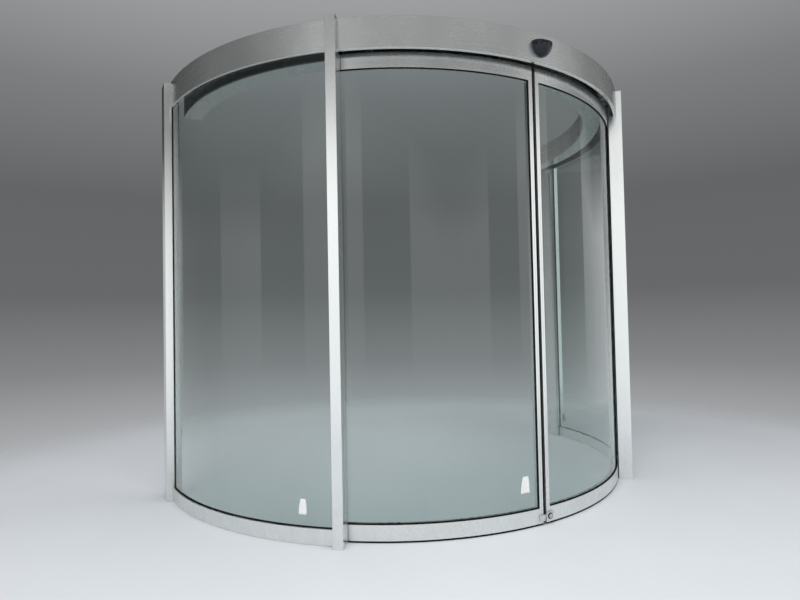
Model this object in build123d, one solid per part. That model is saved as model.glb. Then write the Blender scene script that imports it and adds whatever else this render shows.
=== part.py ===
from build123d import *
import os
from math import asin, cos, degrees, radians, sin

# A drum-shaped automatic entrance: two glazed leaves hang from a curved rail in a ring header and
# slide along the inside of two fixed curved screens. Lengths are in millimetres, angles in degrees.
# The model is built about the drum's vertical axis, with the front of the drum towards -Y and the
# facade in the plane Y = 0; an angle is counted from the front, positive towards +X.
# The last step moves everything so that the origin is the middle of the object's box on the floor.

# Overall sizes
CLEAR_HEIGHT = 2508.0
HEADER_HEIGHT = 167.0
RING_RADIUS = 1700.0
HEADER_DEPTH = 220.0
POST_OVERRUN = 5.0
FACADE_ANGLE = 90.0

# Running clearances, seats, and how far a cut runs past the face that it opens
SEAT = 0.3
GLASS_SEAT = 0.6
SLIDE_GAP = 5.5
CASE_GAP = 10.0
LEAF_FLOOR_GAP = 9.5
PAST = 1.0

# Walls of the hollow extruded sections and the bevel along their edges
POST_WALL = 3.0
SECTION_WALL = 2.5
EDGE = 1.2

# Mid posts: rectangular sections that stand proud of the ring
POST_ANGLE = 38.9
POST_WIDTH = 55.0
POST_PROUD = 38.0
POST_BEHIND = 50.5
POST_GROOVE_WIDTH = 3.0
POST_GROOVE_DEPTH = 2.5

# Wall posts at the facade, and the black joint between a post and the end of its screen's rail
WALL_POST_DEPTH = 120.0
WALL_POST_PROUD = 33.0
WALL_POST_BEHIND = 63.0
RAIL_JOINT = 3.0

# Header skin, deck and the hollow drive case
FASCIA_WALL = 4.0
LIP_HEIGHT = 9.0
LIP_PROUD = 2.0
LIP_RETURN = 12.0
SCREEN_LIP_RETURN = 6.0
CASE_WALL = 4.0
DECK_WALL = 6.0
COVER_RISE = 26.0
COVER_JOINT = 2.0

# Glass and the depth it reaches into its frame
GLASS = 10.0
GLASS_BITE = 10.0

# Fixed screens
SCREEN_RAIL_HEIGHT = 83.0
SCREEN_RAIL_DEPTH = 32.0
SCREEN_GLASS_INSET = 12.0
SCREEN_GASKET_WALL = 4.5
SCREEN_GASKET_FACE = 3.0
CHANNEL_WALL = 6.0
CHANNEL_HEIGHT = 40.0
CHANNEL_RISE = 16.0

# Sliding leaves
LEAF_DEPTH = 42.0
LEAF_RAIL_HEIGHT = 82.0
LEAF_TOP_REVEAL = 76.0
LEAF_GLASS_INSET = 8.0
LEAF_GASKET_FACE = 6.0
LEAF_GASKET_SHORT = 0.5
INNER_GASKET_WALL = 5.0
INNER_GASKET_FACE = 2.0
STILE_FACE = 25.5
STILE_GROOVE_WIDTH = 2.0
STILE_GROOVE_DEPTH = 1.2
SEAL_FACE = 11.2
SEAL_GAP = 0.3
SEAL_DEPTH = 14.0
FLOOR_GROOVE_WIDTH = 18.0
FLOOR_GROOVE_DEPTH = 22.0
BRUSH_DEPTH = 5.0
BRUSH_DROP = 4.0
POST_BRUSH_WIDTH = 6.0
POST_BRUSH_SEAT = 2.0

# Running rail
RAIL_RISE = 52.0
RAIL_WEB_RISE = 6.0
RAIL_WEB_WALL = 3.0
RAIL_ARM_WALL = 6.0
RAIL_BEAD_WIDTH = 5.0
RAIL_BEAD_HEIGHT = 5.0
RAIL_BEAD_EDGE = 1.25
RAIL_END = 80.0

# Hangers: carriage plate, grooved rollers, packer strip and hanging bolts
ROLLER_RADIUS = 22.0
ROLLER_WIDTH = 12.0
ROLLER_GROOVE = 3.0
ROLLER_GAP = 3.0
ROLLER_SPACING = 96.0
AXLE_RADIUS = 4.0
AXLE_NUT_RADIUS = 7.0
HANGER_WALL = 8.0
HANGER_LENGTH = 176.0
HANGER_TOP = 30.0
HANGER_CORNER = 11.0
PACKER_LENGTH = 116.0
PACKER_WIDTH = 22.0
PACKER_WALL = 6.0
BOLT_RADIUS = 5.0
BOLT_NUT_RADIUS = 9.5
BOLT_NUT_HEIGHT = 7.0
BOLT_SPACING = 150.0
HANGER_INSET = 103.0

# Floor guide: a blade in the groove under the leaf, on a thin plate that meets the post
GUIDE_BLADE_LENGTH = 26.0
GUIDE_BLADE_WALL = 6.0
GUIDE_BLADE_HEIGHT = 26.0
GUIDE_PLATE = 3.0
GUIDE_SETBACK = 12.0

# Bottom lock at the feet of the meeting stiles
LOCK_LENGTH = 55.0
LOCK_DEPTH = 9.0
LOCK_HEIGHT = 42.0
KEEPER_LENGTH = 40.0
KEEPER_DEPTH = 7.0
KEEPER_HEIGHT = 34.0
LOCK_RISE = 14.0
LOCK_INSET = 1.5
LOCK_ROUNDING = 2.0
CYLINDER_RADIUS = 11.0
CYLINDER_PROUD = 4.0

# Motion sensor on the fascia: half a bowl under a rim, with a crown that falls away to the front
SENSOR_RADIUS = 62.5
SENSOR_RIM = 18.0
SENSOR_DROP = 82.0
SENSOR_BULGE = 0.55
SENSOR_CROWN = 167.0
SENSOR_ROUNDING = 4.0
SENSOR_TOP = 51.0
SENSOR_SHIFT = 5.5

# Places that follow from the sizes above
TOP = CLEAR_HEIGHT + HEADER_HEIGHT
POST_TOP = TOP + POST_OVERRUN
POST_FRONT = RING_RADIUS + POST_PROUD
POST_BACK = RING_RADIUS - POST_BEHIND
FASCIA_INNER = RING_RADIUS - FASCIA_WALL
SCREEN_INNER = RING_RADIUS - SCREEN_RAIL_DEPTH
SCREEN_GLASS_OUTER = RING_RADIUS - SCREEN_GLASS_INSET
SCREEN_GLASS_INNER = SCREEN_GLASS_OUTER - GLASS
LEAF_OUTER = POST_BACK - SLIDE_GAP
LEAF_INNER = LEAF_OUTER - LEAF_DEPTH
LEAF_MIDDLE = LEAF_OUTER - LEAF_DEPTH / 2
LEAF_GLASS_OUTER = LEAF_OUTER - LEAF_GLASS_INSET
LEAF_GLASS_INNER = LEAF_GLASS_OUTER - GLASS
LEAF_RAIL_TOP = LEAF_FLOOR_GAP + LEAF_RAIL_HEIGHT
LEAF_HEAD_LOW = CLEAR_HEIGHT - LEAF_TOP_REVEAL
LEAF_HEAD_TOP = LEAF_HEAD_LOW + LEAF_RAIL_HEIGHT
CASE_INNER = RING_RADIUS - HEADER_DEPTH
CASE_OUTER = LEAF_INNER - CASE_GAP
WALL_POST_OUTER = RING_RADIUS + WALL_POST_PROUD
WALL_POST_INNER = RING_RADIUS - WALL_POST_BEHIND
PLATE_INNER = LEAF_MIDDLE - HANGER_WALL / 2
PLATE_OUTER = LEAF_MIDDLE + HANGER_WALL / 2
BEAD_MIDDLE = PLATE_INNER - ROLLER_GAP - ROLLER_WIDTH / 2
RAIL_ARM_LOW = CLEAR_HEIGHT + RAIL_RISE
RAIL_ARM_TOP = RAIL_ARM_LOW + RAIL_ARM_WALL
BEAD_TOP = RAIL_ARM_TOP + RAIL_BEAD_HEIGHT
ROLLER_Z = BEAD_TOP + SEAT + ROLLER_RADIUS - ROLLER_GROOVE
BOX_FRONT = RING_RADIUS + SEAT + SENSOR_RADIUS
AXIS_Y = BOX_FRONT / 2


def arc_angle(length, radius=LEAF_OUTER):
    """Angle of an arc of the given length."""
    return degrees(length / radius)


def rect(inner, outer, low, high):
    """Section in radius and height."""
    return [(inner, low), (outer, low), (outer, high), (inner, high)]


def bevelled(inner, outer, low, high):
    """Section in radius and height with bevelled corners."""
    return [
        (inner + EDGE, low), (outer - EDGE, low), (outer, low + EDGE), (outer, high - EDGE),
        (outer - EDGE, high), (inner + EDGE, high), (inner, high - EDGE), (inner, low + EDGE),
    ]


def ring(section, start, end, hollow=None):
    """Section turned about the drum's axis from one angle to another."""
    turn = radians(start)
    plane = Plane(origin=(0, 0, 0), x_dir=(sin(turn), -cos(turn), 0), z_dir=(-cos(turn), -sin(turn), 0))
    face = make_face(Polyline(*section, close=True))
    if hollow:
        face -= make_face(Polyline(*hollow, close=True))
    return revolve(plane * face, Axis.Z, end - start)


def upright(outline, low, high):
    """Prism of an outline given as pairs of radius and angle."""
    points = [(radius * sin(radians(angle)), -radius * cos(radians(angle))) for radius, angle in outline]
    return Pos(0, 0, low) * extrude(make_face(Polyline(*points, close=True)), high - low)


def block(width, inner, outer, low, high, angle=0.0, shift=0.0):
    """Box square to the radius at an angle, moved along the tangent by shift."""
    box = Pos(shift, -(inner + outer) / 2, (low + high) / 2) * Box(width, outer - inner, high - low)
    return Rot(0, 0, angle) * box


def rod(radius, inner, outer, height, angle=0.0):
    """Round bar along the radius at an angle."""
    bar = Pos(0, -(inner + outer) / 2, height) * Rot(90, 0, 0) * Cylinder(radius, outer - inner)
    return Rot(0, 0, angle) * bar


def wall_post_body(seat=0.0):
    """Box of the wall post on the right, grown by a seat."""
    width = WALL_POST_OUTER - WALL_POST_INNER + 2 * seat
    depth = WALL_POST_DEPTH + seat
    middle = (WALL_POST_OUTER + WALL_POST_INNER) / 2
    return Pos(middle, -depth / 2, POST_TOP / 2) * Box(width, depth, POST_TOP + 2 * seat)


def mid_post_body():
    """Full section of the mid post on the right."""
    return block(POST_WIDTH, POST_BACK, POST_FRONT, 0, POST_TOP, POST_ANGLE)


# Angles of the right screen: where its rails pass into the mid post and into the wall post
SCREEN_START = POST_ANGLE
SCREEN_STOP = FACADE_ANGLE - degrees(asin(WALL_POST_DEPTH / 2 / RING_RADIUS))


def screen_glass_pocket(seat):
    """Curved slot that the fixed glass stands in, grown by a seat on every side."""
    low = SCREEN_RAIL_HEIGHT - GLASS_BITE - seat
    high = CLEAR_HEIGHT + CHANNEL_RISE + CHANNEL_HEIGHT - CHANNEL_WALL + seat
    start = POST_ANGLE + arc_angle(POST_WIDTH / 2 - GLASS_BITE - seat, RING_RADIUS)
    end = FACADE_ANGLE - degrees(asin((WALL_POST_DEPTH - GLASS_BITE - seat) / RING_RADIUS))
    return ring(rect(SCREEN_GLASS_INNER - seat, SCREEN_GLASS_OUTER + seat, low, high), start, end)


def post_brush():
    """Brush carrier let into the back edge of the mid post, beside the sliding leaf."""
    shift = (POST_BRUSH_WIDTH - POST_WIDTH) / 2
    return block(POST_BRUSH_WIDTH, POST_BACK, POST_BACK + POST_BRUSH_SEAT, GUIDE_PLATE, CLEAR_HEIGHT,
                 POST_ANGLE, shift)


def mid_post():
    """Hollow post with a shadow groove down each side, notched under the ring header."""
    post = mid_post_body()
    post = chamfer(post.edges().filter_by(Axis.Z), EDGE)
    half_angle = arc_angle(POST_WIDTH, POST_BACK)
    notch = RING_RADIUS + LIP_PROUD + SEAT
    post -= ring(rect(CASE_INNER, notch, CLEAR_HEIGHT, POST_TOP + PAST),
                 POST_ANGLE - half_angle, POST_ANGLE + half_angle)
    groove = POST_GROOVE_WIDTH / 2
    for side in (-1, 1):
        post -= block(POST_GROOVE_DEPTH, RING_RADIUS - groove, RING_RADIUS + groove, -PAST, POST_TOP + PAST,
                      POST_ANGLE, side * (POST_WIDTH - POST_GROOVE_DEPTH) / 2)
    width = POST_WIDTH - 2 * POST_WALL - POST_GROOVE_DEPTH - GLASS_BITE - GLASS_SEAT
    shift = (POST_GROOVE_DEPTH - GLASS_BITE - GLASS_SEAT) / 2
    sill = CLEAR_HEIGHT - POST_WALL
    front = POST_FRONT - POST_WALL
    post -= block(width, POST_BACK + POST_WALL, front, -PAST, sill, POST_ANGLE, shift)
    post -= block(width, notch + POST_WALL, front, sill - PAST, POST_TOP - POST_WALL, POST_ANGLE, shift)
    return post - post_brush() - screen_glass_pocket(GLASS_SEAT)


def wall_post():
    """Hollow post that closes the drum against the facade, slotted for the fixed glass."""
    post = wall_post_body()
    post = chamfer(post.edges().filter_by(Axis.Z), EDGE)
    width = WALL_POST_OUTER - WALL_POST_INNER - 2 * POST_WALL
    depth = WALL_POST_DEPTH - 2 * POST_WALL - GLASS_BITE - GLASS_SEAT
    height = POST_TOP - POST_WALL + PAST
    cavity = Pos((WALL_POST_OUTER + WALL_POST_INNER) / 2, -POST_WALL - depth / 2, height / 2 - PAST)
    return post - cavity * Box(width, depth, height) - screen_glass_pocket(GLASS_SEAT)


def fascia(start, end, lip_return):
    """Tall outer skin of the header with a proud lip along its foot and a return under it."""
    lip = RING_RADIUS + LIP_PROUD
    back = FASCIA_INNER - lip_return
    section = [
        (FASCIA_INNER, TOP), (RING_RADIUS - EDGE, TOP), (RING_RADIUS, TOP - EDGE),
        (RING_RADIUS, CLEAR_HEIGHT + LIP_HEIGHT), (lip, CLEAR_HEIGHT + LIP_HEIGHT - LIP_PROUD),
        (lip, CLEAR_HEIGHT + EDGE), (lip - EDGE, CLEAR_HEIGHT), (back, CLEAR_HEIGHT),
        (back, CLEAR_HEIGHT + FASCIA_WALL), (FASCIA_INNER, CLEAR_HEIGHT + FASCIA_WALL),
    ]
    return ring(section, start, end)


def header_case(start, end):
    """Hollow case on the room side of the header, with the deck that closes the top of the ring."""
    joint = CLEAR_HEIGHT + COVER_RISE
    depth = CASE_INNER + COVER_JOINT
    section = [
        (CASE_INNER + EDGE, CLEAR_HEIGHT), (CASE_OUTER, CLEAR_HEIGHT), (CASE_OUTER, TOP - DECK_WALL),
        (FASCIA_INNER - SEAT, TOP - DECK_WALL), (FASCIA_INNER - SEAT, TOP), (CASE_INNER, TOP),
        (CASE_INNER, joint + COVER_JOINT), (depth, joint + COVER_JOINT), (depth, joint), (CASE_INNER, joint),
        (CASE_INNER, CLEAR_HEIGHT + EDGE),
    ]
    cavity = rect(CASE_INNER + CASE_WALL, CASE_OUTER - CASE_WALL, CLEAR_HEIGHT + CASE_WALL, TOP - DECK_WALL)
    past = arc_angle(PAST)
    last = end - arc_angle(CASE_WALL, CASE_INNER) if end >= FACADE_ANGLE else end + past
    return ring(section, start, end) - ring(cavity, start - past, last)


def running_rail():
    """Curved web, arm and bead that the rollers run on, fixed to the outer wall of the case."""
    inner = CASE_OUTER + SEAT
    web = inner + RAIL_WEB_WALL
    bead_inner = BEAD_MIDDLE - RAIL_BEAD_WIDTH / 2
    bead_outer = BEAD_MIDDLE + RAIL_BEAD_WIDTH / 2
    foot = CLEAR_HEIGHT + RAIL_WEB_RISE
    section = [
        (inner, foot), (web, foot), (web, RAIL_ARM_LOW), (bead_outer, RAIL_ARM_LOW),
        (bead_outer, BEAD_TOP - RAIL_BEAD_EDGE), (bead_outer - RAIL_BEAD_EDGE, BEAD_TOP),
        (bead_inner + RAIL_BEAD_EDGE, BEAD_TOP), (bead_inner, BEAD_TOP - RAIL_BEAD_EDGE),
        (bead_inner, RAIL_ARM_TOP), (inner, RAIL_ARM_TOP),
    ]
    return ring(section, -RAIL_END, RAIL_END)


def screen_trimmed(solid, joint=0.0):
    """Cut a curved piece back to the flat sides of its two posts, a joint short of the wall post."""
    return solid - mid_post_body() - wall_post_body(joint)


def screen_rail():
    """Floor rail of the fixed screen, grooved for the glass."""
    cavity = rect(SCREEN_INNER + SECTION_WALL, RING_RADIUS - SECTION_WALL, SECTION_WALL,
                  SCREEN_RAIL_HEIGHT - GLASS_BITE - GLASS_SEAT - SECTION_WALL)
    section = bevelled(SCREEN_INNER, RING_RADIUS, 0, SCREEN_RAIL_HEIGHT)
    rail = screen_trimmed(ring(section, SCREEN_START, SCREEN_STOP, cavity), RAIL_JOINT)
    return rail - screen_glass_pocket(GLASS_SEAT)


def screen_channel():
    """Channel behind the fascia that holds the head of the fixed glass."""
    low = CLEAR_HEIGHT + CHANNEL_RISE
    section = rect(SCREEN_GLASS_INNER - CHANNEL_WALL, FASCIA_INNER - SEAT, low, low + CHANNEL_HEIGHT)
    start = POST_ANGLE + arc_angle(POST_WIDTH / 2, RING_RADIUS)
    channel = ring(section, start, SCREEN_STOP) - wall_post_body(SEAT)
    return channel - screen_glass_pocket(GLASS_SEAT)


def screen_gasket():
    """Black glazing strip round the sight edge of the fixed glass, and the joint at the rail's end."""
    low = SCREEN_RAIL_HEIGHT
    high = CLEAR_HEIGHT - SEAT
    inner = SCREEN_GLASS_INNER - SCREEN_GASKET_WALL
    outer = SCREEN_GLASS_OUTER + SCREEN_GASKET_WALL
    strip = screen_trimmed(ring(rect(inner, outer, low, high), SCREEN_START, SCREEN_STOP))
    sight_start = POST_ANGLE + arc_angle(POST_WIDTH / 2 + SCREEN_GASKET_FACE, RING_RADIUS)
    sight_stop = FACADE_ANGLE - degrees(asin((WALL_POST_DEPTH + SCREEN_GASKET_FACE) / RING_RADIUS))
    sight = rect(inner - PAST, outer + PAST, low + SCREEN_GASKET_FACE, high + PAST)
    strip -= ring(sight, sight_start, sight_stop)
    joint = ring(rect(SCREEN_INNER + EDGE, RING_RADIUS - EDGE, 0, low), SCREEN_START, SCREEN_STOP)
    joint &= wall_post_body(RAIL_JOINT)
    return strip + (joint - wall_post_body()) - screen_glass_pocket(SEAT)


# Angles of the right leaf, closed
STILE_START = arc_angle(SEAL_FACE + SEAL_GAP)
RAIL_START = STILE_START + arc_angle(STILE_FACE)
RAIL_STOP = POST_ANGLE - arc_angle(STILE_FACE) / 2
STILE_STOP = RAIL_STOP + arc_angle(STILE_FACE)


def leaf_glass_pocket(seat):
    """Curved slot that the glass of a leaf stands in, grown by a seat on every side."""
    bite = GLASS_BITE + seat
    section = rect(LEAF_GLASS_INNER - seat, LEAF_GLASS_OUTER + seat,
                   LEAF_RAIL_TOP - bite, LEAF_HEAD_LOW + bite)
    return ring(section, RAIL_START - arc_angle(bite), RAIL_STOP + arc_angle(bite))


def leaf_bottom_rail():
    """Tall bottom rail with the guide groove along its underside."""
    low = LEAF_FLOOR_GAP + FLOOR_GROOVE_DEPTH
    cavity = rect(LEAF_INNER + SECTION_WALL, LEAF_OUTER - SECTION_WALL,
                  low + SECTION_WALL, LEAF_RAIL_TOP - GLASS_BITE - GLASS_SEAT - SECTION_WALL)
    section = bevelled(LEAF_INNER, LEAF_OUTER, LEAF_FLOOR_GAP, LEAF_RAIL_TOP)
    rail = ring(section, RAIL_START, RAIL_STOP, cavity)
    half = FLOOR_GROOVE_WIDTH / 2
    past = arc_angle(PAST)
    rail -= ring(rect(LEAF_MIDDLE - half, LEAF_MIDDLE + half, LEAF_FLOOR_GAP - PAST, low),
                 RAIL_START - past, RAIL_STOP + past)
    return rail - leaf_glass_pocket(GLASS_SEAT)


def leaf_top_rail():
    """Top rail that rises behind the fascia and hangs from the rollers."""
    cavity = rect(LEAF_INNER + SECTION_WALL, LEAF_OUTER - SECTION_WALL,
                  LEAF_HEAD_LOW + GLASS_BITE + GLASS_SEAT + SECTION_WALL, LEAF_HEAD_TOP - SECTION_WALL)
    rail = ring(bevelled(LEAF_INNER, LEAF_OUTER, LEAF_HEAD_LOW, LEAF_HEAD_TOP), RAIL_START, RAIL_STOP, cavity)
    return rail - leaf_glass_pocket(GLASS_SEAT)


def leaf_stile(start, glass_first=False):
    """Slim hollow upright at one end of a leaf, with a fine groove down both faces."""
    section = rect(LEAF_INNER, LEAF_OUTER, LEAF_FLOOR_GAP, LEAF_HEAD_TOP)
    stile = ring(section, start, start + arc_angle(STILE_FACE))
    stile = chamfer(stile.edges().filter_by(Axis.Z), EDGE)
    width = STILE_FACE - GLASS_BITE - GLASS_SEAT - 2 * SECTION_WALL
    first = STILE_FACE - SECTION_WALL - width if glass_first else SECTION_WALL
    stile -= ring(rect(LEAF_INNER + SECTION_WALL, LEAF_OUTER - SECTION_WALL,
                       LEAF_FLOOR_GAP - PAST, LEAF_HEAD_TOP - SECTION_WALL),
                  start + arc_angle(first), start + arc_angle(first + width))
    groove_start = start + arc_angle((STILE_FACE - STILE_GROOVE_WIDTH) / 2)
    for face in (LEAF_INNER, LEAF_OUTER):
        stile -= ring(rect(face - STILE_GROOVE_DEPTH, face + STILE_GROOVE_DEPTH,
                           LEAF_FLOOR_GAP - PAST, LEAF_HEAD_TOP + PAST),
                      groove_start, groove_start + arc_angle(STILE_GROOVE_WIDTH))
    return stile - leaf_glass_pocket(GLASS_SEAT)


def gasket_frame(root, tip, face):
    """Wedge strips round the sight edge of a leaf, from the glass at root out to the frame at tip."""
    frame = Part()
    for edge, rise in ((LEAF_RAIL_TOP, face), (LEAF_HEAD_LOW, -face)):
        frame += ring([(root, edge), (tip, edge), (root, edge + rise)], RAIL_START, RAIL_STOP)
    turn = arc_angle(face)
    for edge, step in ((RAIL_START, turn), (RAIL_STOP, -turn)):
        frame += upright([(root, edge), (tip, edge), (root, edge + step)], LEAF_RAIL_TOP, LEAF_HEAD_LOW)
    return frame


def leaf_gasket():
    """Black glazing wedges of a leaf, outside and inside."""
    outside = gasket_frame(LEAF_GLASS_OUTER + SEAT, LEAF_OUTER - LEAF_GASKET_SHORT, LEAF_GASKET_FACE)
    inside = gasket_frame(LEAF_GLASS_INNER - SEAT, LEAF_GLASS_INNER - INNER_GASKET_WALL, INNER_GASKET_FACE)
    return Compound(children=list(outside.solids()) + list(inside.solids()))


def leaf_seal():
    """Rubber nose on the closing edge, a hair short of the middle of the doorway."""
    half = SEAL_DEPTH / 2
    nose = SEAL_GAP + SEAL_FACE / 3
    body = ring(rect(LEAF_MIDDLE - half, LEAF_MIDDLE + half, LEAF_FLOOR_GAP, LEAF_HEAD_LOW),
                arc_angle(nose), STILE_START)
    slim = half / 2
    tip = ring(rect(LEAF_MIDDLE - slim, LEAF_MIDDLE + slim, LEAF_FLOOR_GAP, LEAF_HEAD_LOW),
               arc_angle(SEAL_GAP), arc_angle(nose))
    return body + tip


def leaf_brush():
    """Brush along the foot of a leaf, outside the guide groove."""
    outer = LEAF_OUTER - EDGE
    section = rect(outer - BRUSH_DEPTH, outer, LEAF_FLOOR_GAP - BRUSH_DROP, LEAF_FLOOR_GAP)
    return ring(section, STILE_START, STILE_STOP)


def roller():
    """Grooved roller that turns about a radial axle at the front of the drum."""
    half = ROLLER_WIDTH / 2
    groove = RAIL_BEAD_WIDTH / 2 + SEAT
    flank = groove + ROLLER_GROOVE / 3
    bore = AXLE_RADIUS + SEAT
    floor = ROLLER_RADIUS - ROLLER_GROOVE
    section = [
        (bore, -half), (ROLLER_RADIUS, -half), (ROLLER_RADIUS, -flank), (floor, -groove),
        (floor, groove), (ROLLER_RADIUS, flank), (ROLLER_RADIUS, half), (bore, half),
    ]
    wheel = revolve(make_face(Polyline(*section, close=True)), Axis.Y, 360)
    return Pos(0, -BEAD_MIDDLE, ROLLER_Z) * wheel


def hanger():
    """Carriage of one hanging point, at the front of the drum: frame, packer strip and two rollers."""
    low = ROLLER_Z - ROLLER_RADIUS
    plate = block(HANGER_LENGTH, PLATE_INNER, PLATE_OUTER, low, ROLLER_Z + HANGER_TOP)
    frame = chamfer(plate.edges().filter_by(Axis.Y).group_by(Axis.Z)[-1], HANGER_CORNER)
    packer = block(PACKER_LENGTH, LEAF_MIDDLE - PACKER_WIDTH / 2, LEAF_MIDDLE + PACKER_WIDTH / 2,
                   LEAF_HEAD_TOP, LEAF_HEAD_TOP + PACKER_WALL)
    pieces = [packer]
    for side in (-1, 1):
        foot = Pos(side * BOLT_SPACING / 2, -LEAF_MIDDLE, LEAF_HEAD_TOP)
        bolt = Pos(0, 0, (low - LEAF_HEAD_TOP) / 2) * Cylinder(BOLT_RADIUS, low - LEAF_HEAD_TOP)
        nut = extrude(RegularPolygon(BOLT_NUT_RADIUS, 6), BOLT_NUT_HEIGHT)
        turn = side * arc_angle(ROLLER_SPACING / 2, BEAD_MIDDLE)
        axle = rod(AXLE_RADIUS, BEAD_MIDDLE - ROLLER_WIDTH / 2, LEAF_MIDDLE, ROLLER_Z, turn)
        axle_nut = rod(AXLE_NUT_RADIUS, LEAF_MIDDLE, PLATE_OUTER + AXLE_RADIUS, ROLLER_Z, turn)
        frame += foot * (bolt + nut)
        frame += axle + axle_nut
        pieces.append(Rot(0, 0, turn) * roller())
    return [frame] + pieces


def leaf_hangers():
    """The two hanging points of a leaf."""
    inset = arc_angle(HANGER_INSET)
    angles = (RAIL_START + inset, RAIL_STOP - inset)
    return Compound(children=[Rot(0, 0, angle) * solid for angle in angles
                              for piece in hanger() for solid in piece.solids()])


def leaf_lock():
    """Lock case with its turning cylinder at the foot of the meeting stile."""
    low = LEAF_FLOOR_GAP + LOCK_RISE
    angle = arc_angle(LOCK_INSET + LOCK_LENGTH / 2)
    outer = LEAF_OUTER + LOCK_DEPTH
    case = block(LOCK_LENGTH, LEAF_OUTER + SEAT, outer, low, low + LOCK_HEIGHT, angle)
    case = fillet(case.edges().filter_by(Axis.Z), LOCK_ROUNDING)
    return case + rod(CYLINDER_RADIUS, outer - PAST, outer + CYLINDER_PROUD, low + LOCK_HEIGHT / 2, angle)


def lock_keeper():
    """Keeper that the lock shoots into, on the other leaf."""
    low = LEAF_FLOOR_GAP + LOCK_RISE
    angle = arc_angle(LOCK_INSET + KEEPER_LENGTH / 2)
    outer = LEAF_OUTER + KEEPER_DEPTH
    keeper = block(KEEPER_LENGTH, LEAF_OUTER + SEAT, outer, low, low + KEEPER_HEIGHT, angle)
    return fillet(keeper.edges().filter_by(Axis.Z), LOCK_ROUNDING)


def floor_guide():
    """Blade that steadies the foot of a leaf, on a plate that runs back to the post."""
    half = GUIDE_BLADE_WALL / 2
    shift = -(POST_WIDTH / 2 + GUIDE_SETBACK)
    blade = block(GUIDE_BLADE_LENGTH, LEAF_MIDDLE - half, LEAF_MIDDLE + half, 0, GUIDE_BLADE_HEIGHT,
                  POST_ANGLE, shift)
    width = GUIDE_BLADE_LENGTH + GUIDE_SETBACK + POST_WIDTH / 2
    middle = shift + (width - GUIDE_BLADE_LENGTH) / 2
    plate = block(width, LEAF_INNER, LEAF_MIDDLE + half, 0, GUIDE_PLATE, POST_ANGLE, middle)
    foot = block(POST_WIDTH / 2, LEAF_INNER, POST_BACK, 0, GUIDE_PLATE, POST_ANGLE, -POST_WIDTH / 4)
    return blade + plate + foot


def motion_sensor():
    """Half-bowl sensor against the fascia, rounded where its falling crown meets the rim."""
    reach = SENSOR_RADIUS * SENSOR_BULGE
    shoulder = -SENSOR_RIM - (SENSOR_DROP - SENSOR_RIM) * SENSOR_BULGE
    bowl = Bezier((0, -SENSOR_DROP), (reach, -SENSOR_DROP), (SENSOR_RADIUS, shoulder), (SENSOR_RADIUS, -SENSOR_RIM))
    outline = Polyline((0, -SENSOR_DROP), (0, 0), (SENSOR_RADIUS, 0), (SENSOR_RADIUS, -SENSOR_RIM))
    body = revolve(Plane.XZ * make_face([outline, bowl]), Axis.Z, 180)
    body &= Pos(0, 0, -SENSOR_CROWN) * Rot(0, 90, 0) * Cylinder(SENSOR_CROWN, 3 * SENSOR_RADIUS)
    crown = body.faces().sort_by(Axis.Z)[-1]
    body = fillet(crown.edges().sort_by(SortBy.LENGTH)[-1], SENSOR_ROUNDING)
    return Pos(SENSOR_SHIFT, -RING_RADIUS - SEAT, TOP - SENSOR_TOP) * Rot(0, 0, 180) * body


def export(name, shape):
    """Write one node, moved from the drum's axis to the origin of the object."""
    node = Compound(children=list(shape.solids()))
    export_step(Pos(0, AXIS_Y, 0) * node, "parts/" + name + ".step")


os.makedirs("parts", exist_ok=True)

pairs = {
    "wall_post": wall_post(),
    "mid_post": mid_post(),
    "screen_rail": screen_rail(),
    "screen_channel": screen_channel(),
    "screen_glass": screen_glass_pocket(0),
    "screen_gasket": screen_gasket(),
    "floor_guide": floor_guide(),
    "post_brush": post_brush(),
    "fascia": fascia(POST_ANGLE, SCREEN_STOP, SCREEN_LIP_RETURN) - wall_post_body(SEAT),
    "header_case": header_case(POST_ANGLE, FACADE_ANGLE) - wall_post_body(SEAT),
}
for name, shape in pairs.items():
    export(name + "_right", shape)
    export(name + "_left", mirror(shape, Plane.YZ))

leaf = {
    "bottom_rail": leaf_bottom_rail(),
    "top_rail": leaf_top_rail(),
    "meeting_stile": leaf_stile(STILE_START),
    "trailing_stile": leaf_stile(RAIL_STOP, glass_first=True),
    "glass": leaf_glass_pocket(0),
    "gasket": leaf_gasket(),
    "meeting_seal": leaf_seal(),
    "bottom_brush": leaf_brush(),
    "hangers": leaf_hangers(),
}
for name, shape in leaf.items():
    export("leaf_right_" + name, shape)
    export("leaf_left_" + name, mirror(shape, Plane.YZ))
export("leaf_right_lock", leaf_lock())
export("leaf_left_keeper", mirror(lock_keeper(), Plane.YZ))

export("fascia_centre", fascia(-POST_ANGLE, POST_ANGLE, LIP_RETURN))
export("header_case_centre", header_case(-POST_ANGLE, POST_ANGLE))
export("running_rail", running_rail())
export("motion_sensor", motion_sensor())
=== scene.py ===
import math
import random

import bmesh
import bpy
from mathutils import Matrix, Vector


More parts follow.
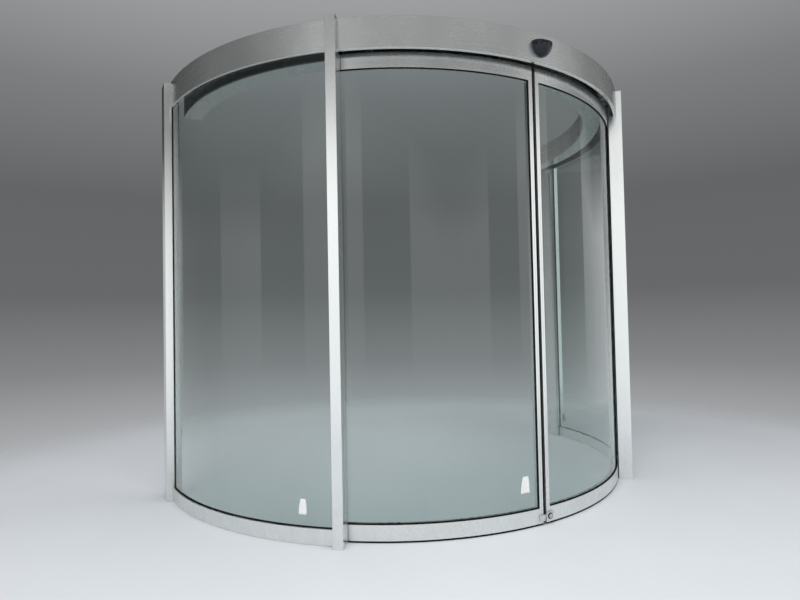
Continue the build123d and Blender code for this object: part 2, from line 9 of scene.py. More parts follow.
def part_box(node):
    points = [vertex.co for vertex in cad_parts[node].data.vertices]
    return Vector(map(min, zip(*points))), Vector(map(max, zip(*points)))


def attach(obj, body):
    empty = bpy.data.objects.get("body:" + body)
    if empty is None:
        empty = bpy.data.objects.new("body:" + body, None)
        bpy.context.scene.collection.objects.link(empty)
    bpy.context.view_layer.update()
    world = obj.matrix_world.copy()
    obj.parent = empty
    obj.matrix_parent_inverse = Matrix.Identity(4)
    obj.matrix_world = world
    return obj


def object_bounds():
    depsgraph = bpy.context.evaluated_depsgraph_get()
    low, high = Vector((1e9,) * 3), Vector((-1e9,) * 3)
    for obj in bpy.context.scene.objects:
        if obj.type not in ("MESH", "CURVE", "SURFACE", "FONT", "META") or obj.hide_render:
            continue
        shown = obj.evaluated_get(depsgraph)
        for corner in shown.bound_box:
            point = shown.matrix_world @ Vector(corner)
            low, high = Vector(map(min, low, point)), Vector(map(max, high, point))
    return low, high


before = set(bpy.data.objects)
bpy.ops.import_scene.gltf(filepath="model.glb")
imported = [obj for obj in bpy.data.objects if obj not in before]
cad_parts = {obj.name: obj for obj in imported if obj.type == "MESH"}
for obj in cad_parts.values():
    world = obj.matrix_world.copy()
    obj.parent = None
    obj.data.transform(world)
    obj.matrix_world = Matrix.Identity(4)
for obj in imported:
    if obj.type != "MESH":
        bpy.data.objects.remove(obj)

CAD_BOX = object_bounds()

# Drum, in metres: its axis stands in the facade plane, which is the back of the CAD box
AXIS_Y = CAD_BOX[1][1]
CLEAR_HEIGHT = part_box("header_case_centre")[0][2]
HEADER_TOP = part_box("header_case_centre")[1][2]
CASE_INNER = 1.48
FASCIA_INNER = 1.696
SCREEN_GLASS_OUTER = 1.688
LEAF_OUTER = AXIS_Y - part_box("leaf_right_meeting_stile")[0][1]
LEAF_DEPTH = 0.042
LEAF_GLASS_OUTER = 1.636
LEAF_START_ARC = 0.0125
LEAF_END_ANGLE = 39.3
SIDES = ((1, "right"), (-1, "left"))

# Inside of the hollow header, where shade is painted into the metal: where it begins and ends in arc
# length, height and radius
HEADER_END = math.pi / 2 * LEAF_OUTER
INSIDE_END = (HEADER_END - 0.004, HEADER_END - 0.002)
INSIDE_BOTTOM = (CLEAR_HEIGHT - 0.001, CLEAR_HEIGHT + 0.010)
INSIDE_TOP = (HEADER_TOP - 0.008, HEADER_TOP - 0.004)
INSIDE_BACK = (CASE_INNER + 0.004, CASE_INNER + 0.008)
INSIDE_FRONT = (FASCIA_INNER - 0.001, FASCIA_INNER + 0.002)

# Bristles of the leaves' brushes, in two rows inward from the leaf's outer face
BRISTLE_STEP = 0.0021
BRISTLE_ROWS = (0.0024, 0.0046)
BRISTLE_ROOT = 0.0005
BRISTLE_LENGTH = (0.0044, 0.0050)
BRISTLE_WIDTH = 0.0010
BRISTLE_LEAN = 0.0008
BRISTLE_SWAY = 0.0002

# Pile of the posts' brushes, in two rows side by side
PILE_STEP = 0.0025
PILE_ROWS = (-0.0018, 0.0008)
PILE_MARGIN = 0.004
PILE_ROOT = 0.0008
PILE_LENGTH = 0.0045
PILE_WIDTH = 0.0012
PILE_LEAN = 0.0005
PILE_SWAY = 0.0006
TUFT_TAPER = 0.7

# Lock and keeper: widths, how far each plate stands proud of the leaf, its screws across and up
PLATE_GAP = 0.0015
LOCK_WIDTH = 0.055
LOCK_PROUD = 0.009
LOCK_SCREWS = (0.0222, 0.013)
KEEPER_WIDTH = 0.040
KEEPER_PROUD = 0.007
KEEPER_SCREWS = (0.012, 0.0095)

# Profiles of the lock's rose and core as (radius, height), and the outline of its key slot
ROSE_PROFILE = ((0.0170, 0), (0.0170, 0.0012), (0.0160, 0.0020), (0.0118, 0.0024), (0.0114, 0.0003))
CORE_PROFILE = ((0.0078, 0.0038), (0.0078, 0.0044), (0.0070, 0.0050), (0, 0.0050))
KEY_SLOT = (
    (-0.0011, -0.0042), (0.0011, -0.0042), (0.0011, 0.0020), (0.0018, 0.0042), (-0.0018, 0.0042),
    (-0.0011, 0.0020),
)
KEY_SLOT_HEIGHTS = (0.0046, 0.0052)

# Screws: radius and height of the head, and where those of the header's cover sit
SCREW = (0.0032, 0.0012)
SOCKET_SHARE = 0.45
COVER_SCREW = (0.0045, 0.0014)
COVER_SCREW_RISE = 0.014
COVER_SCREW_ANGLES = range(-78, 79, 12)

# Heads of the meeting seals: nose and body as spans of arc, each with half its depth
SEAL_PARTS = ((0.0003, 0.0040, 0.0035), (0.0040, 0.0113, 0.0070))
SEAL_HEAD_DROP = 0.003

# Blank paper patches: name, body, angle on the drum, radius, low and high edge, width
PATCHES = (
    ("sticker_screen_left", "frame", -45.75, SCREEN_GLASS_OUTER, 0.145, 0.223, 0.044),
    ("sticker_leaf_left", "leaf_left", -4.4, LEAF_GLASS_OUTER, 0.186, 0.274, 0.056),
    ("sticker_screen_right", "frame", 84.05, SCREEN_GLASS_OUTER, 0.145, 0.210, 0.048),
)
PATCH_CELLS = (10, 14)
PATCH_TAPER = 0.42
PATCH_DRIFT = 0.004
PATCH_TEAR = 0.0012
PATCH_LIFT = 0.00025
PATCH_WAVE = 0.0005
PATCH_THICKNESS = 0.00015

# Edges sharper than this, in degrees, stay sharp in smooth shading
SHARP_ANGLE = 35

# Metal: linear tones, shares of them in clouds, die lines and painted shade under and inside the
# header, and die lines per metre
ALUMINIUM = (0.79, 0.81, 0.80)
CLOUD_SHARES = (0.965, 1.025)
DIE_LINE_SHARE = 0.9
UNDERSIDE_SHADE_SHARE = 0.68
INSIDE_SHADE_SHARE = 0.22
RING_ROUGHNESS = 0.26
POST_ROUGHNESS = 0.23
ROUGHNESS_SPREAD = 0.035
DIE_LINES = 750
DIE_LINE_DRAW = 0.6
DUST = (0.60, 0.585, 0.56)
DUST_HEIGHT = 0.35

# Glass: its tint, and the share of a lamp's light that it lets through
GLASS_TINT = (0.72, 0.79, 0.775)
GLASS_LIT_SHARE = 0.94
GLASS_IOR = 1.5

# Tones of the other finishes, linear
RUBBER_GREY = 0.008
PILE_GREY = 0.006
STEEL_TONES = ((0.66, 0.66, 0.65), (0.76, 0.76, 0.75))
STEEL_LINE_GREY = 0.50
SENSOR_COVER = (0.010, 0.012, 0.017)
SENSOR_WINDOW = (0.005, 0.007, 0.012)
SENSOR_SMUDGE_GREY = 0.022
SENSOR_SEAM_DROP = 0.017
PAPER_TONES = ((0.80, 0.80, 0.79), (0.90, 0.90, 0.90))
FLOOR_TONES = ((0.71, 0.74, 0.78), (0.74, 0.77, 0.81))

# Floor: just under the object, with the distances from its middle over which it fades out
FLOOR_RADIUS = 60.0
FLOOR_DROP = 0.0005
FLOOR_FADE = (3.2, 4.6)
FLOOR_ROUGHNESS = 0.5

# Light from round the stage, by height: 0 is straight down, 0.5 the horizon and 1 straight up.
# The glow lights and shows as reflections, weaker behind the object; the backdrop is only seen.
GLOW_STOPS = (
    (0.30, (0.88, 0.92, 0.95)), (0.50, (1.10, 1.13, 1.15)), (0.60, (1.31, 1.31, 1.31)),
    (0.70, (1.28, 1.28, 1.28)),
)
GLOW_BEHIND = 0.45
BACKDROP_STOPS = (
    (0.28, (0.60, 0.62, 0.64)), (0.40, (0.43, 0.44, 0.455)), (0.46, (0.23, 0.235, 0.243)),
    (0.52, (0.137, 0.14, 0.145)), (0.60, (0.127, 0.13, 0.135)), (0.68, (0.205, 0.21, 0.217)),
    (0.77, (0.37, 0.38, 0.393)), (1.0, (0.47, 0.48, 0.497)),
)

# Dark upright screens round the stage, seen in reflections, as azimuths in degrees from the front
DARK_SCREENS = ((-150, -116), (-92, -70), (-43, -21), (17, 33), (52, 78), (106, 140))
SCREEN_BLUR = 0.4
SCREEN_GREY = 0.12
SCREEN_SHARE = 0.75
SCREEN_FOOT = (0.43, 0.54)

# Canopy overhead: tones in front and behind, its lower edge, which is higher at the sides in front,
# and the darker rim above that edge
CANOPY_TONES = (0.315, 0.03)
CANOPY_EDGE = (0.565, 0.635)
CANOPY_RISE = 0.25
CANOPY_RIM = (0.70, 0.745)
CANOPY_RIM_SHARE = 0.5

# Square lamps: name, place, target, size and power
LAMPS = (
    ("overhead", (-1.0, -1.5, 6.5), (0.0, 0.0, 0.5), 6.0, 470.0),
    ("front", (-5.0, -6.0, 3.5), (0.0, 0.0, 1.2), 4.0, 160.0),
)

# Camera, worked out from the circular edges in the photograph
CAMERA_PLACE = (-2.14544, AXIS_Y - 3.89383, 1.14865)
CAMERA_YAW = math.radians(29.227)
CAMERA_PITCH = 0.0281
CAMERA_ROLL = -0.0197
CAMERA_LENS = 24.706
CAMERA_FILM = 36.0
CAMERA_SHIFT = 0.0021
CAMERA_REACH = 200.0

SEED = 11
PILE_SEED = SEED + 5


# Places on the drum

def drum_frame(angle, radius, height):
    """Matrix at a place on the drum: X tangent, Y up, Z outward; the angle counts from the front."""
    turn = math.radians(angle)
    place = Vector((radius * math.sin(turn), AXIS_Y - radius * math.cos(turn), height))
    tangent = Vector((math.cos(turn), math.sin(turn), 0))
    outward = Vector((math.sin(turn), -math.cos(turn), 0))
    axes = Matrix((tangent, Vector((0, 0, 1)), outward)).transposed().to_4x4()
    return Matrix.Translation(place) @ axes


def arc_angle(length, radius=LEAF_OUTER):
    """Angle in degrees of an arc of the given length."""
    return math.degrees(length / radius)


# Node trees

def new_material(name):
    """Material with an empty node tree, and its tree."""
    material = bpy.data.materials.new(name)
    material.use_nodes = True
    material.node_tree.nodes.clear()
    return material, material.node_tree


def add(tree, kind, links=None, **values):
    """Add a node, set its properties and link or fill its inputs, given as {input: socket or value}."""
    node = tree.nodes.new(kind)
    for key, value in values.items():
        setattr(node, key, value)
    for key, value in (links or {}).items():
        if isinstance(value, bpy.types.NodeSocket):
            tree.links.new(value, node.inputs[key])
        else:
            node.inputs[key].default_value = value
    return node


def math_node(tree, operation, first, second=0.0):
    """Output of a Math node."""
    return add(tree, "ShaderNodeMath", {0: first, 1: second}, operation=operation).outputs[0]


def product(tree, first, second):
    """Product of two values."""
    return math_node(tree, "MULTIPLY", first, second)


def ramp(tree, value, stops):
    """Colour ramp through the given (place, colour) stops."""
    node = add(tree, "ShaderNodeValToRGB", {0: value})
    elements = node.color_ramp.elements
    elements.remove(elements[1])
    for place, colour in stops[1:]:
        elements.new(place).color = (*colour, 1)
    elements[0].position = stops[0][0]
    elements[0].color = (*stops[0][1], 1)
    return node.outputs[0]


def grey(level):
    """Neutral colour."""
    return (level, level, level)


def scaled(colour, share):
    """Colour times a share."""
    return [part * share for part in colour]


def object_place(tree):
    """Object coordinates."""
    return add(tree, "ShaderNodeTexCoord").outputs["Object"]


def split(tree, vector):
    """The three parts of a vector."""
    return add(tree, "ShaderNodeSeparateXYZ", {0: vector}).outputs


def place_along_drum(tree):
    """Object coordinates as arc length, radius and height, so that patterns follow the ring."""
    across, back, height = split(tree, object_place(tree))
    depth = math_node(tree, "SUBTRACT", AXIS_Y, back)
    turn = math_node(tree, "ARCTAN2", across, depth)
    squares = math_node(tree, "ADD", product(tree, across, across), product(tree, depth, depth))
    radius = math_node(tree, "SQRT", squares)
    arc = product(tree, turn, LEAF_OUTER)
    return add(tree, "ShaderNodeCombineXYZ", {0: arc, 1: radius, 2: height}).outputs[0]


def noise(tree, place, scale, stretch=(1, 1, 1), detail=4.0, roughness=0.55):
    """Noise value at a place, with the pattern squeezed by stretch."""
    moved = add(tree, "ShaderNodeMapping", {"Vector": place, "Scale": stretch}).outputs[0]
    return add(tree, "ShaderNodeTexNoise", {"Vector": moved, "Scale": scale, "Detail": detail,
                                            "Roughness": roughness}).outputs["Fac"]


def spread(tree, value, low, high, start=0.3, stop=0.7):
    """Map a value from start..stop to low..high."""
    return add(tree, "ShaderNodeMapRange", {"Value": value, "From Min": start, "From Max": stop,
                                            "To Min": low, "To Max": high}).outputs[0]


def blend(tree, factor, first, second, mode="MIX"):
    """Mix of two colours."""
    node = add(tree, "ShaderNodeMix", {"Factor": factor}, data_type="RGBA", blend_type=mode)
    for socket, value in ((node.inputs["A"], first), (node.inputs["B"], second)):
        if isinstance(value, bpy.types.NodeSocket):
            tree.links.new(value, socket)
        else:
            socket.default_value = (*value, 1)
    return node.outputs["Result"]


def bump(tree, height, distance, strength):
    """Normal from a height pattern; the distance is in metres."""
    return add(tree, "ShaderNodeBump", {"Height": height, "Distance": distance,
                                        "Strength": strength}).outputs[0]


def principled(tree, inputs):
    """Shader with the given inputs."""
    return add(tree, "ShaderNodeBsdfPrincipled", inputs).outputs[0]


def output(tree, shader):
    """Close the tree with a shader on its surface."""
    add(tree, "ShaderNodeOutputMaterial", {"Surface": shader})


# Materials

def header_inside_shade(tree, place):
    """How far a point lies inside the hollow header, between its end caps, where shade is painted into
    the metal's colour.
    """
    arc, radius, height = split(tree, place)
    share = spread(tree, math_node(tree, "ABSOLUTE", arc), 1.0, 0.0, *INSIDE_END)
    for value, low, high, limits in ((height, 0.0, 1.0, INSIDE_BOTTOM), (height, 1.0, 0.0, INSIDE_TOP),
                                     (radius, 0.0, 1.0, INSIDE_BACK), (radius, 1.0, 0.0, INSIDE_FRONT)):
        share = product(tree, share, spread(tree, value, low, high, *limits))
    return share


def extruded_metal(name, roughness, along_ring):
    """Satin anodised extrusion: fine die lines along it, faint clouding, and dust towards the floor; on
    the ring, painted shade darkens faces that point down and the hollow inside of the header.
    """
    material, tree = new_material(name)
    if along_ring:
        place = place_along_drum(tree)
        stretch = (DIE_LINE_DRAW, DIE_LINES, DIE_LINES)
    else:
        place = object_place(tree)
        stretch = (DIE_LINES, DIE_LINES, DIE_LINE_DRAW)
    lines = noise(tree, place, 1.0, stretch, detail=3.0)
    clouds = noise(tree, place, 3.0, (1, 1, 0.6), detail=5.0)
    grain = noise(tree, place, 900.0, detail=2.0)
    marks = noise(tree, place, 14.0, (1, 1, 0.35), detail=7.0, roughness=0.7)

    low = spread(tree, split(tree, place)[2], 1.0, 0.0, 0.0, DUST_HEIGHT)
    dust = product(tree, low, spread(tree, marks, 0.0, 0.55, 0.42, 0.75))

    cloud_tones = [scaled(ALUMINIUM, share) for share in CLOUD_SHARES]
    tone = blend(tree, spread(tree, clouds, 0.0, 1.0), *cloud_tones)
    tone = blend(tree, spread(tree, lines, 0.0, 0.07), tone, scaled(ALUMINIUM, DIE_LINE_SHARE))
    tone = blend(tree, dust, tone, DUST)
    if along_ring:
        # Painted shade: faces of the ring metal that point down get a darker tone.
        facing = add(tree, "ShaderNodeNewGeometry").outputs["True Normal"]
        under = spread(tree, split(tree, facing)[2], 1.0, 0.0, -0.75, -0.25)
        tone = blend(tree, under, tone, scaled(ALUMINIUM, UNDERSIDE_SHADE_SHARE))
        # Painted shade: the metal inside the hollow header gets a much darker tone.
        tone = blend(tree, header_inside_shade(tree, place), tone, scaled(ALUMINIUM, INSIDE_SHADE_SHARE))

    rough = spread(tree, clouds, roughness - ROUGHNESS_SPREAD, roughness + ROUGHNESS_SPREAD)
    rough = math_node(tree, "ADD", rough, spread(tree, lines, -0.015, 0.015))
    rough = math_node(tree, "ADD", rough, product(tree, dust, 0.3))
    relief = math_node(tree, "ADD", product(tree, lines, 0.7), product(tree, grain, 0.3))
    output(tree, principled(tree, {
        "Base Color": tone, "Metallic": spread(tree, dust, 0.93, 0.35, 0.0, 1.0), "Roughness": rough,
        "Normal": bump(tree, relief, 0.00002, 0.35),
    }))
    return material


def clear_glass(name, tint):
    """Grey-green float glass with faint wiping marks; the lamps light what stands behind it."""
    material, tree = new_material(name)
    place = place_along_drum(tree)
    wiped = noise(tree, place, 2.2, (1, 1, 0.5), detail=6.0, roughness=0.65)
    streaks = noise(tree, place, 5.0, (5, 1, 0.25), detail=5.0)
    film = product(tree, spread(tree, wiped, 0.0, 1.0, 0.5, 0.78), spread(tree, streaks, 0.2, 1.0))
    wave = noise(tree, place, 1.4, (1, 1, 0.6), detail=1.0)
    shader = principled(tree, {
        "Base Color": blend(tree, film, tint, scaled(tint, 0.95)),
        "Roughness": spread(tree, film, 0.0, 0.045, 0.0, 1.0), "IOR": GLASS_IOR,
        "Transmission Weight": 1.0, "Normal": bump(tree, wave, 0.0006, 0.4),
    })
    lamp_tone = (*scaled(tint, GLASS_LIT_SHARE), 1)
    lit = add(tree, "ShaderNodeBsdfTransparent", {"Color": lamp_tone}).outputs[0]
    shadow = add(tree, "ShaderNodeLightPath").outputs["Is Shadow Ray"]
    output(tree, add(tree, "ShaderNodeMixShader", {0: shadow, 1: shader, 2: lit}).outputs[0])
    return material


def rubber(name, level, fibre=False):
    """Black rubber or brush pile, with a dusting of grey on it."""
    material, tree = new_material(name)
    place = place_along_drum(tree)
    grain = noise(tree, place, 1.0, (700, 700, 30) if fibre else (160, 160, 160), detail=3.0)
    dusty = noise(tree, place, 9.0, detail=6.0, roughness=0.7)
    tone = blend(tree, spread(tree, dusty, 0.0, 0.5, 0.45, 0.8), grey(level), grey(level * 3.2))
    tone = blend(tree, spread(tree, grain, 0.0, 0.35), tone, grey(level * 0.5))
    output(tree, principled(tree, {
        "Base Color": tone, "Roughness": spread(tree, dusty, 0.5, 0.72), "Specular IOR Level": 0.05,
        "Normal": bump(tree, grain, 0.0003, 0.6),
    }))
    return material


def brushed_steel(name):
    """Brushed stainless steel with a fine grain and darker handling marks."""
    material, tree = new_material(name)
    place = place_along_drum(tree)
    lines = noise(tree, place, 1.0, (40, 900, 900), detail=3.0)
    marks = noise(tree, place, 60.0, detail=5.0)
    tone = blend(tree, spread(tree, marks, 0.0, 1.0), *STEEL_TONES)
    tone = blend(tree, spread(tree, lines, 0.0, 0.25), tone, grey(STEEL_LINE_GREY))
    output(tree, principled(tree, {
        "Base Color": tone, "Metallic": 1.0, "Roughness": spread(tree, lines, 0.18, 0.30),
        "Normal": bump(tree, lines, 0.00005, 0.6),
    }))
    return material


def sensor_plastic(name, seam):
    """Black moulded plastic: a finely textured cover above a seam, a smooth smoked window below it."""
    material, tree = new_material(name)
    place = object_place(tree)
    height = split(tree, place)[2]
    stipple = noise(tree, place, 1600.0, detail=2.0)
    smudge = noise(tree, place, 40.0, detail=5.0)
    window = spread(tree, height, 1.0, 0.0, seam - 0.0006, seam + 0.0006)
    gap = math_node(tree, "ABSOLUTE", math_node(tree, "SUBTRACT", height, seam))
    tone = blend(tree, window, SENSOR_COVER, SENSOR_WINDOW)
    tone = blend(tree, spread(tree, smudge, 0.0, 0.3, 0.5, 0.8), tone, grey(SENSOR_SMUDGE_GREY))
    cover, smooth = spread(tree, smudge, 0.30, 0.42), spread(tree, smudge, 0.10, 0.18)
    rough = add(tree, "ShaderNodeMix", {"Factor": window, "A": cover, "B": smooth},
                data_type="FLOAT").outputs[0]
    groove = spread(tree, gap, 0.0, 1.0, 0.0004, 0.0012)
    relief = math_node(tree, "ADD", groove, product(tree, stipple, 0.12))
    output(tree, principled(tree, {
        "Base Color": tone, "Roughness": rough, "Specular IOR Level": 0.35,
        "Normal": bump(tree, relief, 0.0006, 0.7),
    }))
    return material


def paper(name):
    """Plain white sticker paper, slightly crumpled."""
    material, tree = new_material(name)
    place = object_place(tree)
    folds = noise(tree, place, 70.0, detail=4.0)
    fibres = noise(tree, place, 900.0, detail=3.0)
    output(tree, principled(tree, {
        "Base Color": blend(tree, spread(tree, folds, 0.0, 1.0), *PAPER_TONES),
        "Roughness": spread(tree, fibres, 0.55, 0.75), "Normal": bump(tree, folds, 0.0012, 0.5),
    }))
    return material


RING_METAL = extruded_metal("anodised_ring", RING_ROUGHNESS, along_ring=True)
POST_METAL = extruded_metal("anodised_upright", POST_ROUGHNESS, along_ring=False)
GLASS = clear_glass("tinted_glass", GLASS_TINT)
RUBBER = rubber("gasket_rubber", RUBBER_GREY)
PILE = rubber("brush_pile", PILE_GREY, fibre=True)
STEEL = brushed_steel("brushed_fittings")
SENSOR_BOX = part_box("motion_sensor")
PLASTIC = sensor_plastic("sensor_plastic", SENSOR_BOX[1][2] - SENSOR_SEAM_DROP)
PAPER = paper("sticker_paper")


def finish_of(node):
    """Material of a CAD node, from its name."""
    if "glass" in node:
        return GLASS
    if "brush" in node:
        return PILE
    if "gasket" in node or "seal" in node:
        return RUBBER
    if node.endswith(("hangers", "lock", "keeper")) or "guide" in node:
        return STEEL
    if node == "motion_sensor":
        return PLASTIC
    if "post" in node or "stile" in node:
        return POST_METAL
    return RING_METAL


for node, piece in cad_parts.items():
    piece.data.materials.clear()
    piece.data.materials.append(finish_of(node))


# Added pieces

def piece_from(name, mesh, material, body, smooth=True):
    """Object from a bmesh, with its finish, on its body."""
    bmesh.ops.recalc_face_normals(mesh, faces=mesh.faces)
    data = bpy.data.meshes.new(name)
    mesh.to_mesh(data)
    mesh.free()
    data.materials.append(material)
    if smooth:
        data.shade_smooth()
        data.set_sharp_from_angle(angle=math.radians(SHARP_ANGLE))
    piece = bpy.data.objects.new(name, data)
    bpy.context.scene.collection.objects.link(piece)
    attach(piece, body)
    return piece


def add_lathe(mesh, profile, place, steps=32):
    """Turn a profile of (radius, height) about local Z."""
    turns = [2 * math.pi * i / steps for i in range(steps)]
    rings = []
    for radius, height in profile:
        spots = [(radius * math.cos(t), radius * math.sin(t), height) for t in turns]
        if radius == 0:
            spots = [(0, 0, height)]
        rings.append([mesh.verts.new(place @ Vector(spot)) for spot in spots])
    for first, second in zip(rings, rings[1:]):
        for i in range(steps):
            j = (i + 1) % steps
            corners = []
            for vertex in (first[i % len(first)], first[j % len(first)],
                           second[j % len(second)], second[i % len(second)]):
                if vertex not in corners:
                    corners.append(vertex)
            mesh.faces.new(corners)


def add_prism(mesh, outline, low, high, place):
    """Prism of a local XY outline between two heights."""
    bottom = [mesh.verts.new(place @ Vector((x, y, low))) for x, y in outline]
    top = [mesh.verts.new(place @ Vector((x, y, high))) for x, y in outline]
    mesh.faces.new(bottom)
    mesh.faces.new(top)
    for i in range(len(outline)):
        j = (i + 1) % len(outline)
        mesh.faces.new((bottom[i], bottom[j], top[j], top[i]))


def add_tuft(mesh, foot, tip, width):
    """Blunt four-sided tuft of bristles from foot to tip."""
    direction = (tip - foot).normalized()
    side = direction.orthogonal().normalized()
    other = direction.cross(side)
    corners = ((1, 1), (-1, 1), (-1, -1), (1, -1))
    base = [mesh.verts.new(foot + width * (side * a + other * b)) for a, b in corners]
    end = [mesh.verts.new(tip + TUFT_TAPER * width * (side * a + other * b)) for a, b in corners]
    mesh.faces.new(end)
    for i in range(4):
        mesh.faces.new((base[i], base[(i + 1) % 4], end[(i + 1) % 4], end[i]))


def shake(rng, reach):
    """Random shift to either side."""
    return rng.uniform(-reach, reach)


def floor_bristles(name, side, body):
    """Two rows of bristles below a leaf, from its brush carrier down to just above the floor."""
    rng = random.Random(SEED + side)
    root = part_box(name)[0][2] + BRISTLE_ROOT
    mesh = bmesh.new()
    step = arc_angle(BRISTLE_STEP)
    angle = arc_angle(LEAF_START_ARC)
    while angle < LEAF_END_ANGLE - step:
        for inset in BRISTLE_ROWS:
            lean = shake(rng, BRISTLE_LEAN)
            place = drum_frame(side * (angle + rng.uniform(0, step / 3)), LEAF_OUTER - inset, root)
            tip = place @ Vector((lean, -rng.uniform(*BRISTLE_LENGTH), shake(rng, BRISTLE_SWAY)))
            add_tuft(mesh, place.translation, tip, BRISTLE_WIDTH)
        angle += step
    piece_from(name + "_bristles", mesh, PILE, body, smooth=False)


def post_pile(node, side):
    """Wool pile on the back of a mid post, reaching towards the leaf."""
    rng = random.Random(PILE_SEED + side)
    low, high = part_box(node)
    across = (low[0] + high[0]) / 2
    depth = AXIS_Y - (low[1] + high[1]) / 2
    angle = math.degrees(math.atan2(across, depth))
    radius = math.hypot(across, depth) - PILE_ROOT
    mesh = bmesh.new()
    height = low[2] + PILE_MARGIN
    while height < high[2] - PILE_MARGIN:
        for shift in PILE_ROWS:
            place = drum_frame(angle, radius, height + shake(rng, PILE_SWAY))
            tip = Vector((shift + shake(rng, PILE_LEAN), shake(rng, PILE_SWAY), -PILE_LENGTH))
            add_tuft(mesh, place @ Vector((shift, 0, 0)), place @ tip, PILE_WIDTH)
        height += PILE_STEP
    piece_from(node + "_pile", mesh, PILE, "frame", smooth=False)


def add_screw(mesh, place, radius, proud):
    """Countersunk screw head with a round socket."""
    socket = radius * SOCKET_SHARE
    add_lathe(mesh, [(radius, 0), (radius, proud * 0.6), (radius * 0.9, proud), (socket, proud),
                     (socket * 0.95, proud * 0.1), (0, proud * 0.05)], place, steps=24)


def corner_screws(mesh, place, across, up):
    """Four screws round the middle of a plate."""
    for shift in (-across, across):
        for rise in (up, -up):
            add_screw(mesh, place @ Matrix.Translation((shift, rise, 0)), *SCREW)


def lock_details():
    """Rose round the lock's cylinder with its key slot, and the screws of lock and keeper."""
    low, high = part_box("leaf_right_lock")
    angle = arc_angle(PLATE_GAP + LOCK_WIDTH / 2)
    cylinder = drum_frame(angle, LEAF_OUTER + LOCK_PROUD, (low[2] + high[2]) / 2)
    rose = bmesh.new()
    add_lathe(rose, ROSE_PROFILE, cylinder)
    add_prism(rose, KEY_SLOT, *KEY_SLOT_HEIGHTS, cylinder)
    piece_from("lock_rose", rose, PLASTIC, "leaf_right")

    core = bmesh.new()
    add_lathe(core, CORE_PROFILE, cylinder)
    corner_screws(core, cylinder, *LOCK_SCREWS)
    piece_from("lock_core", core, STEEL, "leaf_right")

    low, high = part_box("leaf_left_keeper")
    angle = -arc_angle(PLATE_GAP + KEEPER_WIDTH / 2)
    keeper = drum_frame(angle, LEAF_OUTER + KEEPER_PROUD, (low[2] + high[2]) / 2)
    plate = bmesh.new()
    corner_screws(plate, keeper, *KEEPER_SCREWS)
    piece_from("keeper_screws", plate, STEEL, "leaf_left")


def seal_head(side, body):
    """Short head of the rubber nose, in the gap between the upper ends of the meeting stiles."""
    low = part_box(body + "_meeting_seal")[1][2]
    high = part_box(body + "_top_rail")[1][2] - SEAL_HEAD_DROP
    place = drum_frame(0, LEAF_OUTER - LEAF_DEPTH / 2, 0)
    mesh = bmesh.new()
    for start, stop, half in SEAL_PARTS:
        outline = [(side * x, y) for x, y in ((start, low), (stop, low), (stop, high), (start, high))]
        add_prism(mesh, outline, -half, half, place)
    piece_from(body + "_seal_head", mesh, RUBBER, body)


def case_screws():
    """Screws along the removable cover on the room side of the header."""
    mesh = bmesh.new()
    inward = Matrix.Rotation(math.pi, 4, "Y")
    for angle in COVER_SCREW_ANGLES:
        place = drum_frame(angle, CASE_INNER, CLEAR_HEIGHT + COVER_SCREW_RISE) @ inward
        add_screw(mesh, place, *COVER_SCREW)
    piece_from("case_cover_screws", mesh, STEEL, "frame")


def sticker(name, body, angle, radius, low, high, width):
    """Plain paper patch with a torn top, lying on the outer face of the curved glass."""
    rng = random.Random(SEED + int(abs(angle) * 10))
    columns, rows = PATCH_CELLS
    mesh = bmesh.new()
    grid = []
    for j in range(rows + 1):
        t = j / rows
        reach = width / 2 * (1 - PATCH_TAPER * t ** 3)
        line = []
        for i in range(columns + 1):
            u = 2 * i / columns - 1
            tear = shake(rng, PATCH_TEAR) if i in (0, columns) else 0.0
            along = u * reach + tear + PATCH_DRIFT * t
            lift = PATCH_LIFT + PATCH_WAVE * abs(math.sin(5 * t + 2 * u)) * abs(u)
            place = drum_frame(angle + arc_angle(along, radius), radius + lift, low + t * (high - low))
            line.append(mesh.verts.new(place.translation))
        grid.append(line)
    for lower, upper in zip(grid, grid[1:]):
        for i in range(columns):
            mesh.faces.new((lower[i], lower[i + 1], upper[i + 1], upper[i]))
    piece = piece_from(name, mesh, PAPER, body)
    sheet = piece.modifiers.new("thickness", "SOLIDIFY")
    sheet.thickness = PATCH_THICKNESS
    sheet.offset = 1


for side, hand in SIDES:
    floor_bristles("leaf_" + hand + "_bottom_brush", side, "leaf_" + hand)
for side, hand in SIDES:
    post_pile("post_brush_" + hand, side)
lock_details()
for side, hand in SIDES:
    seal_head(side, "leaf_" + hand)
case_screws()
for patch in PATCHES:
    sticker(*patch)


# Stage, light and camera

def stage_floor():
    """Plain pale floor that fades into the backdrop far from the object."""
    mesh = bmesh.new()
    bmesh.ops.create_circle(mesh, cap_ends=True, segments=96, radius=FLOOR_RADIUS)
    data = bpy.data.meshes.new("stage_floor")
    mesh.to_mesh(data)
    mesh.free()
    floor = bpy.data.objects.new("stage_floor", data)
    floor.location.z = -FLOOR_DROP
    bpy.context.scene.collection.objects.link(floor)
    material, tree = new_material("stage_floor")
    place = object_place(tree)
    tone = blend(tree, spread(tree, noise(tree, place, 0.8), 0.0, 1.0), *FLOOR_TONES)
    matt = principled(tree, {"Base Color": tone, "Roughness": FLOOR_ROUGHNESS})
    distance = add(tree, "ShaderNodeVectorMath", {0: place}, operation="LENGTH").outputs["Value"]
    near, far = FLOOR_FADE
    away = add(tree, "ShaderNodeMapRange", {"Value": distance, "From Min": near, "From Max": far},
               interpolation_type="SMOOTHSTEP").outputs[0]
    clear = add(tree, "ShaderNodeBsdfTransparent").outputs[0]
    output(tree, add(tree, "ShaderNodeMixShader", {0: away, 1: matt, 2: clear}).outputs[0])
    data.materials.append(material)


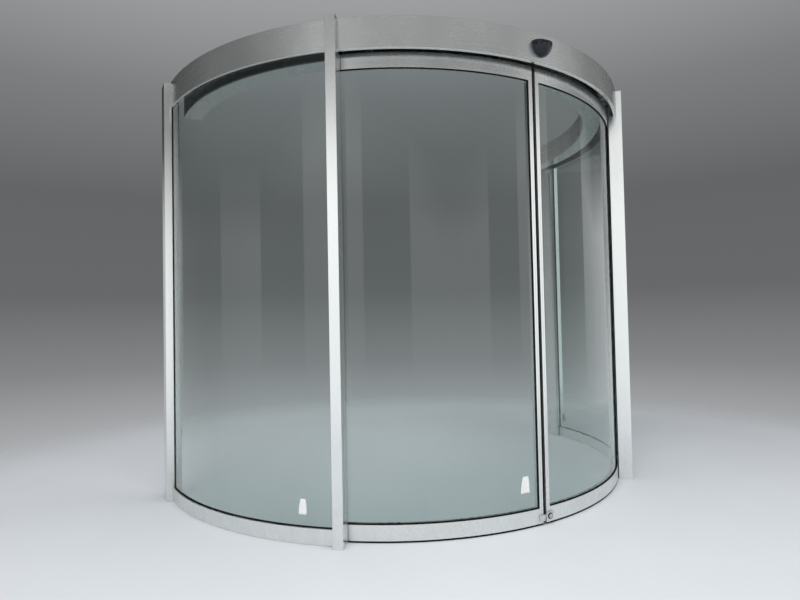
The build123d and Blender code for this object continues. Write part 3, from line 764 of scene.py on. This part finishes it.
def dark_screens(tree, across, back):
    """How far a direction falls on one of the dark screens round the stage."""
    azimuth = math_node(tree, "ARCTAN2", across, product(tree, back, -1.0))
    total = 0.0
    for screen in DARK_SCREENS:
        share = 1.0
        for edge, before, after in zip(screen, (0.0, 1.0), (1.0, 0.0)):
            start, stop = math.radians(edge - SCREEN_BLUR), math.radians(edge + SCREEN_BLUR)
            share = product(tree, spread(tree, azimuth, before, after, start, stop), share)
        total = math_node(tree, "ADD", share, total)
    return total


def surround(tree, across, back, height):
    """Light that surfaces get and reflect: bright near the horizon, grey overhead as under a canopy."""
    glow = ramp(tree, height, GLOW_STOPS)
    glow = blend(tree, 1.0, glow, spread(tree, back, 1.0, GLOW_BEHIND, 0.0, 0.6), "MULTIPLY")
    upright = spread(tree, height, 0.0, SCREEN_SHARE, *SCREEN_FOOT)
    screens = product(tree, dark_screens(tree, across, back), upright)
    glow = blend(tree, screens, glow, grey(SCREEN_GREY))
    canopy = spread(tree, back, *CANOPY_TONES, -0.75, 0.75)
    canopy = product(tree, canopy, spread(tree, height, CANOPY_RIM_SHARE, 1.0, *CANOPY_RIM))
    corners = product(tree, product(tree, across, across), spread(tree, back, 1.0, 0.0, -1.0, 0.0))
    edge = math_node(tree, "SUBTRACT", height, product(tree, corners, CANOPY_RISE))
    return blend(tree, spread(tree, edge, 0.0, 1.0, *CANOPY_EDGE), glow, canopy)


def world_light():
    """Soft surround for the light, plain backdrop for what is seen directly or through the glass."""
    world = bpy.data.worlds.new("studio")
    bpy.context.scene.world = world
    world.use_nodes = True
    tree = world.node_tree
    tree.nodes.clear()
    across, back, up = split(tree, add(tree, "ShaderNodeTexCoord").outputs["Generated"])
    height = spread(tree, up, 0.0, 1.0, -1.0, 1.0)
    path = add(tree, "ShaderNodeLightPath").outputs
    seen = math_node(tree, "MAXIMUM", path["Is Camera Ray"], path["Is Transmission Ray"])
    tone = blend(tree, seen, surround(tree, across, back, height), ramp(tree, height, BACKDROP_STOPS))
    background = add(tree, "ShaderNodeBackground", {"Color": tone, "Strength": 1.0})
    add(tree, "ShaderNodeOutputWorld", {"Surface": background.outputs[0]})


def lamp(name, place, target, size, power):
    """Square soft light aimed at a target, which doesn't show in metal or glass."""
    data = bpy.data.lights.new(name, "AREA")
    data.shape = "SQUARE"
    data.size = size
    data.energy = power
    light = bpy.data.objects.new(name, data)
    light.location = place
    light.rotation_euler = (Vector(target) - Vector(place)).to_track_quat("-Z", "Y").to_euler()
    light.visible_glossy = False
    light.visible_transmission = False
    bpy.context.scene.collection.objects.link(light)


def camera():
    """Camera at the photograph's place, turn, tilt and roll."""
    level = math.cos(CAMERA_PITCH)
    forward = Vector((
        math.sin(CAMERA_YAW) * level, math.cos(CAMERA_YAW) * level, math.sin(CAMERA_PITCH)))
    right = Vector((math.cos(CAMERA_YAW), -math.sin(CAMERA_YAW), 0))
    up = right.cross(forward)
    rolled_right = right * math.cos(CAMERA_ROLL) + up * math.sin(CAMERA_ROLL)
    rolled_up = up * math.cos(CAMERA_ROLL) - right * math.sin(CAMERA_ROLL)
    data = bpy.data.cameras.new("photo_camera")
    data.lens = CAMERA_LENS
    data.sensor_width = CAMERA_FILM
    data.shift_x = CAMERA_SHIFT
    data.clip_end = CAMERA_REACH
    view = bpy.data.objects.new("photo_camera", data)
    axes = Matrix((rolled_right, rolled_up, -forward)).transposed().to_4x4()
    view.matrix_world = Matrix.Translation(CAMERA_PLACE) @ axes
    bpy.context.scene.collection.objects.link(view)
    bpy.context.scene.camera = view


stage_floor()
world_light()
for row in LAMPS:
    lamp(*row)
camera()

bpy.context.scene.view_settings.view_transform = "Standard"
